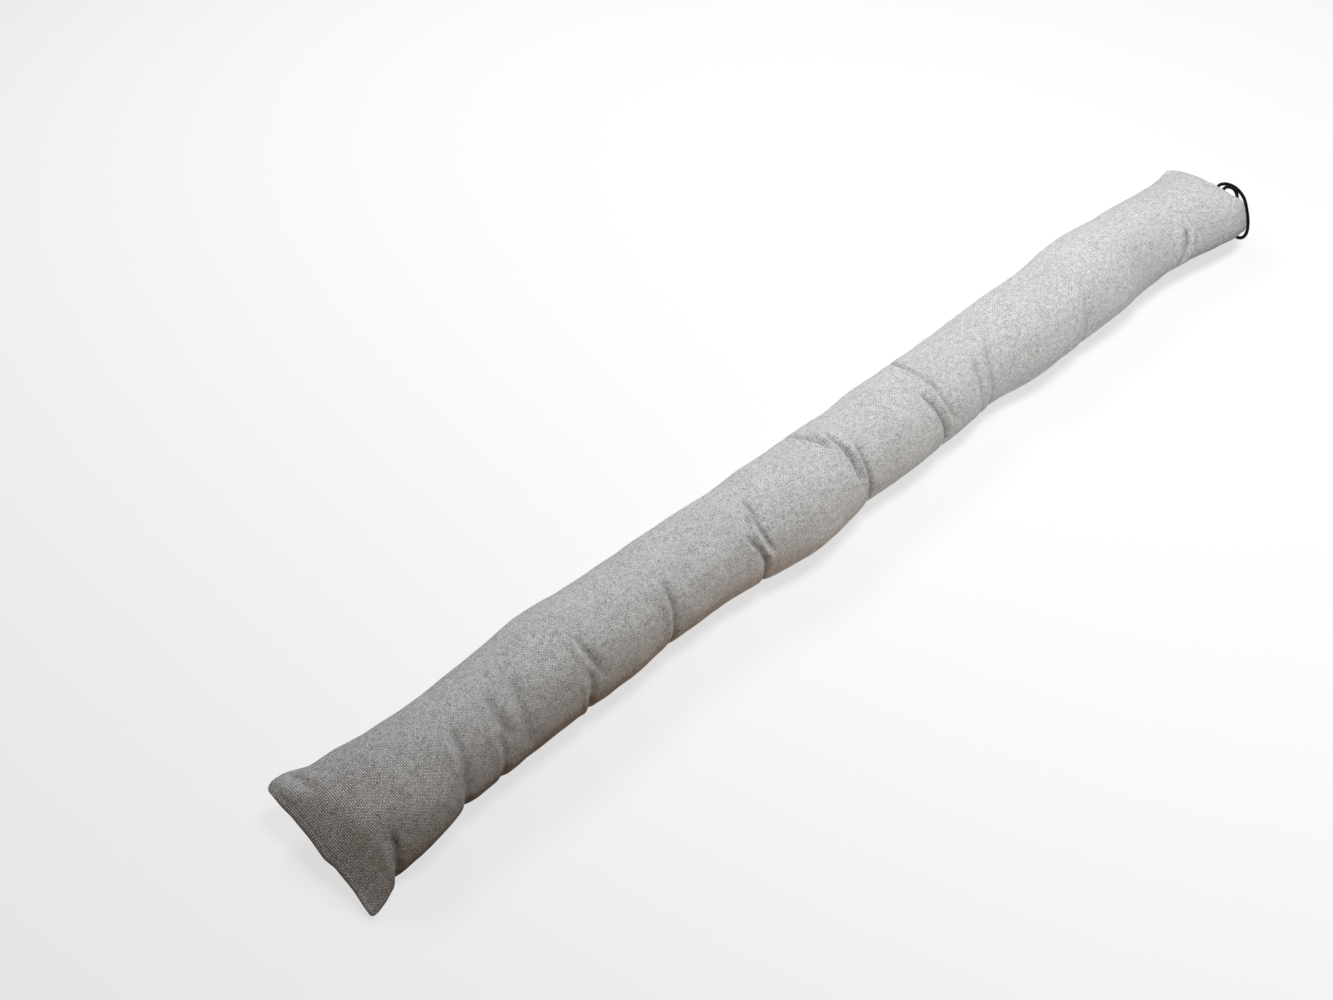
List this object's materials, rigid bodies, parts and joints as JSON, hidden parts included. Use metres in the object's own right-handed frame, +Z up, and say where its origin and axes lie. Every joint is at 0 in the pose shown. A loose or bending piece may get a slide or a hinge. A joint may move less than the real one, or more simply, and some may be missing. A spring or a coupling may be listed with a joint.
{
  "type": "draught excluder",
  "caption": "Long filled cloth tube with flat-sewn ends and a cord loop to hang it by, laid against the foot of a door to stop draughts.",
  "frame": {"origin": "middle of the cover's footprint, on the surface that it rests on", "axes": "+X along the tube towards the end with the hanging loop, +Y towards the back, +Z up"},
  "size_m": [0.9314, 0.1035, 0.0714],
  "materials": {
    "light_grey_cloth": "matt plain weave, light grey melange",
    "black_cord": "smooth round black cord, slightly shiny"
  },
  "bodies": {
    "root": {"cover": "light_grey_cloth", "hanging_loop": "black_cord"}
  },
  "joints": []
}
